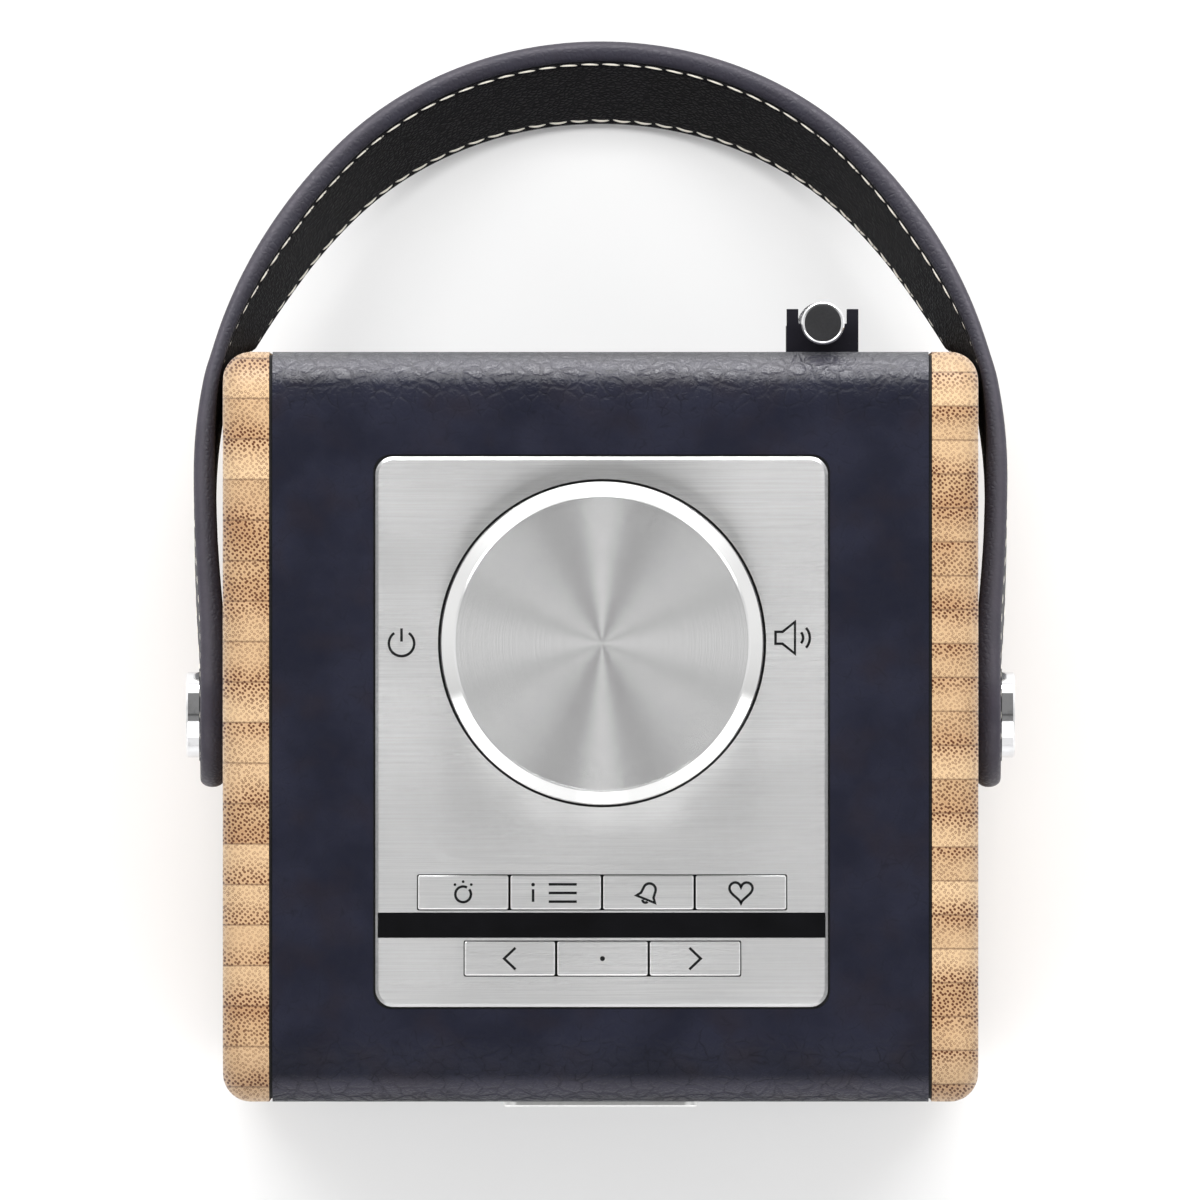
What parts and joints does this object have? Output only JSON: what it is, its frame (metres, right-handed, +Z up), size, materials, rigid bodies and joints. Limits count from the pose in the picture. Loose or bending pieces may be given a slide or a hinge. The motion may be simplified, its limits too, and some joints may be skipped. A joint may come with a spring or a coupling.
{
  "type": "portable radio",
  "caption": "Cube portable radio: leather-wrapped cabinet, bamboo sides, brushed control plate with a large dial, rear telescopic antenna and a swinging strap handle.",
  "frame": {"origin": "middle of the cabinet in plan, on the surface that the rubber feet stand on", "axes": "+X to the radio's right seen from the front, +Y to its rear, +Z up"},
  "size_m": [0.1544, 0.1975, 0.1536],
  "materials": {
    "leather": "pebbled navy leather, semi-matt",
    "lining": "matt black grained lining",
    "bamboo": "satin bamboo",
    "shell_plastic": "moulded black",
    "deck_plastic": "moulded black",
    "rubber": "matt",
    "brushed": "brushed",
    "button_metal": "brushed",
    "spun": "spun, polished bevel",
    "grille_metal": "satin",
    "badge_metal": "satin",
    "chrome": "polished",
    "steel": "plain",
    "brass": "plain",
    "cloth": "acoustic cloth",
    "baffle_board": "fibreboard",
    "magnet": "ferrite",
    "cone_paper": "pressed paper",
    "board": "circuit board",
    "display_glass": "black gloss",
    "rear_plastic": "fine spark texture",
    "socket": "black",
    "battery": "shrink wrapped",
    "copper": "insulated leads"
  },
  "bodies": {
    "cabinet": {"antenna_clip": "rear_plastic", "antenna_shelf": "rear_plastic", "audio_jacks": "socket", "battery_bay": "shell_plastic", "battery_contacts": "steel", "battery_pack": "battery", "board_posts": "brass", "cabinet_shell": "shell_plastic", "control_board": "board", "control_deck": "deck_plastic", "control_plate": "brushed", "dc_socket": "socket", "display_module": "display_glass", "display_window": "display_glass", "encoder_housing": "shell_plastic", "front_badge": "badge_metal", "grille_cloth": "cloth", "grille_frame": "deck_plastic", "handle_studs": "chrome", "inner_leads": "copper", "leather_wrap": "leather", "main_board": "board", "panel_screws": "steel", "pivot_inserts": "brass", "rear_panel": "rear_plastic", "rubber_feet": "rubber", "side_panel_left": "bamboo", "side_panel_right": "bamboo", "small_screws": "steel", "speaker_baffle": "baffle_board", "speaker_basket": "steel", "speaker_grille": "grille_metal", "speaker_magnet": "magnet", "speaker_surround": "rubber", "strap_washers": "rubber", "tuner_module": "steel"},
    "speaker_motor": {"speaker_cone": "cone_paper", "dust_cap": "cone_paper"},
    "dial_rotor": {"encoder_rotor": "brass"},
    "dial": {"volume_dial": "spun", "dial_hub": "shell_plastic", "dial_spindle": "steel"},
    "battery_cover": {"battery_door": "rear_plastic"},
    "antenna_base": {"antenna_swivel": "chrome", "antenna_elbow_pin": "steel"},
    "antenna_mast": {"antenna_tube": "chrome"},
    "antenna_second": {"antenna_section_two": "chrome"},
    "antenna_third": {"antenna_section_three": "chrome"},
    "antenna_end": {"antenna_rod": "chrome", "antenna_tip": "chrome"},
    "handle": {"strap_leather": "leather", "strap_lining": "lining", "strap_eyelets": "steel"},
    "button_timer_key": {"button_timer": "button_metal"},
    "button_menu_key": {"button_menu": "button_metal"},
    "button_alarm_key": {"button_alarm": "button_metal"},
    "button_favourite_key": {"button_favourite": "button_metal"},
    "button_previous_key": {"button_previous": "button_metal"},
    "button_select_key": {"button_select": "button_metal"},
    "button_next_key": {"button_next": "button_metal"}
  },
  "joints": [
    {"name": "handle_swing", "type": "hinge", "parent": "cabinet", "child": "handle", "pos_m": [0, 0.0021, 0.0765], "axis": [1, 0, 0], "range_deg": [0, 237], "deforming": ["strap_leather", "strap_lining"]},
    {"name": "dial_turn", "type": "hinge", "parent": "cabinet", "child": "dial_rotor", "pos_m": [0.00028, 0.0155, 0.14], "axis": [0, 0, -1], "continuous": true},
    {"name": "dial_press", "type": "slide", "parent": "dial_rotor", "child": "dial", "axis": [0, 0, -1], "range_m": [0, 0.0008], "stiffness_N_per_m": 2000, "springref_m": -0.0008},
    {"name": "cone_travel", "type": "slide", "parent": "cabinet", "child": "speaker_motor", "axis": [0, -1, 0], "range_m": [-0.0015, 0.0015], "stiffness_N_per_m": 1200, "deforming": ["speaker_surround"]},
    {"name": "battery_door_pull", "type": "slide", "parent": "cabinet", "child": "battery_cover", "axis": [0, 1, 0], "range_m": [0, 0.02]},
    {"name": "antenna_turn", "type": "hinge", "parent": "cabinet", "child": "antenna_base", "pos_m": [0.0412, 0.0748, 0.038], "axis": [0, 0, -1], "range_deg": [-90, 90]},
    {"name": "antenna_tilt", "type": "hinge", "parent": "antenna_base", "child": "antenna_mast", "pos_m": [0.0412, 0.0748, 0.046], "axis": [-1, 0, 0], "range_deg": [0, 90]},
    {"name": "antenna_second_draw", "type": "slide", "parent": "antenna_mast", "child": "antenna_second", "axis": [0, 0, 1], "range_m": [0, 0.068]},
    {"name": "antenna_third_draw", "type": "slide", "parent": "antenna_second", "child": "antenna_third", "axis": [0, 0, 1], "range_m": [0, 0.068]},
    {"name": "antenna_end_draw", "type": "slide", "parent": "antenna_third", "child": "antenna_end", "axis": [0, 0, 1], "range_m": [0, 0.068]},
    {"name": "button_timer_press", "type": "slide", "parent": "cabinet", "child": "button_timer_key", "axis": [0, 0, -1], "range_m": [0, 0.0005], "stiffness_N_per_m": 1200, "springref_m": -0.0004},
    {"name": "button_menu_press", "type": "slide", "parent": "cabinet", "child": "button_menu_key", "axis": [0, 0, -1], "range_m": [0, 0.0005], "stiffness_N_per_m": 1200, "springref_m": -0.0004},
    {"name": "button_alarm_press", "type": "slide", "parent": "cabinet", "child": "button_alarm_key", "axis": [0, 0, -1], "range_m": [0, 0.0005], "stiffness_N_per_m": 1200, "springref_m": -0.0004},
    {"name": "button_favourite_press", "type": "slide", "parent": "cabinet", "child": "button_favourite_key", "axis": [0, 0, -1], "range_m": [0, 0.0005], "stiffness_N_per_m": 1200, "springref_m": -0.0004},
    {"name": "button_previous_press", "type": "slide", "parent": "cabinet", "child": "button_previous_key", "axis": [0, 0, -1], "range_m": [0, 0.0005], "stiffness_N_per_m": 1200, "springref_m": -0.0004},
    {"name": "button_select_press", "type": "slide", "parent": "cabinet", "child": "button_select_key", "axis": [0, 0, -1], "range_m": [0, 0.0005], "stiffness_N_per_m": 1200, "springref_m": -0.0004},
    {"name": "button_next_press", "type": "slide", "parent": "cabinet", "child": "button_next_key", "axis": [0, 0, -1], "range_m": [0, 0.0005], "stiffness_N_per_m": 1200, "springref_m": -0.0004}
  ]
}
